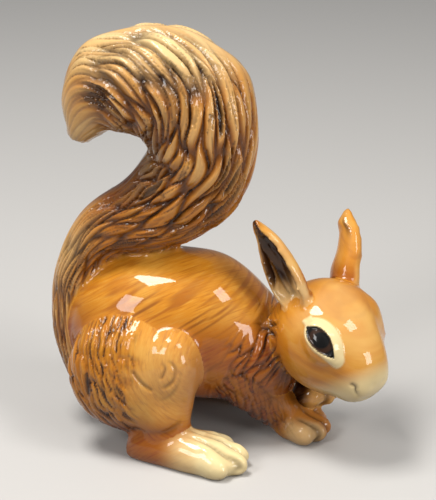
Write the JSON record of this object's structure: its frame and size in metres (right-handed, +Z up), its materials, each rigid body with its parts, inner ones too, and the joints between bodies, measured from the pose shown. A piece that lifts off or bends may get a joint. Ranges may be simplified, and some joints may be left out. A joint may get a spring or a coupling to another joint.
{
  "type": "squirrel figurine",
  "caption": "Glazed slip-cast squirrel ornament, crouching on its haunches with a forepaw raised, its head turned to the viewer and a bushy tail curled over its back.",
  "frame": {"origin": "middle of the figure's plan, on the plane that its feet rest on", "axes": "+X the way the body faces, +Y the squirrel's left, +Z up"},
  "size_m": [0.1366, 0.0934, 0.1659],
  "materials": {
    "amber_glaze": "glossy clear glaze over hand-painted amber and dark brown",
    "cream_glaze": "glossy clear glaze over cream slip"
  },
  "bodies": {
    "root": {"torso": "amber_glaze", "head": "amber_glaze", "ear_right": "amber_glaze", "ear_left": "amber_glaze", "tail": "amber_glaze", "haunch_right": "amber_glaze", "haunch_left": "amber_glaze", "foreleg_right": "amber_glaze", "foreleg_left": "amber_glaze", "hind_foot_right": "cream_glaze", "hind_foot_left": "cream_glaze"}
  },
  "joints": []
}
